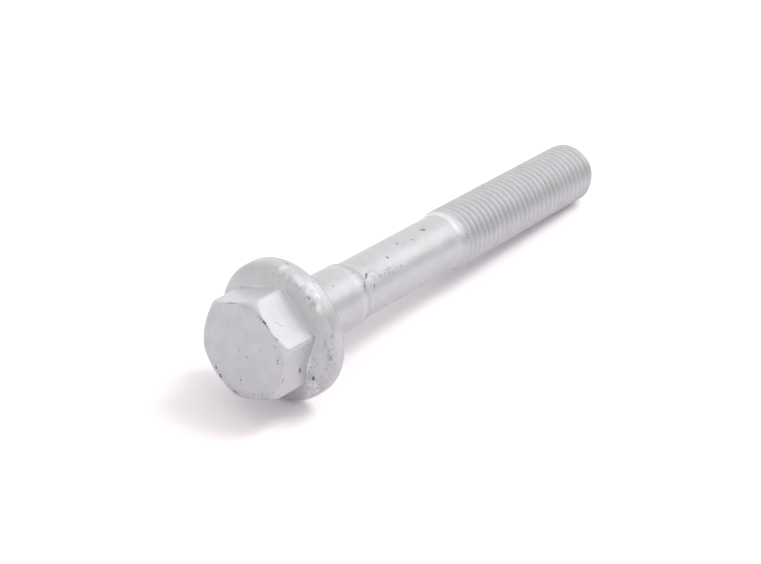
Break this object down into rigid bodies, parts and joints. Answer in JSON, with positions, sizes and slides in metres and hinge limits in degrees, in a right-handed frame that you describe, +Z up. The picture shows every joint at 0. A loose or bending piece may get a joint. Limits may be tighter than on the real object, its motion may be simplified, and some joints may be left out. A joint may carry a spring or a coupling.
{
  "type": "hexagon flange bolt",
  "caption": "Hexagon head bolt with a fixed conical flange, a full-diameter collar, a reduced shank and a fine thread, in grey coated steel, lying at rest.",
  "frame": {"origin": "on the floor, under the middle of the bolt's box as it lies", "axes": "+X along the floor from the head to the point, +Z up; the bolt's own axis falls 4.47 degrees from head to point"},
  "size_m": [0.1026, 0.0258, 0.0259],
  "materials": {
    "coated_steel": "thin zinc flake coating, light neutral grey, satin and slightly mottled, with small handling marks"
  },
  "bodies": {
    "root": {"flange_bolt": "coated_steel"}
  },
  "joints": []
}
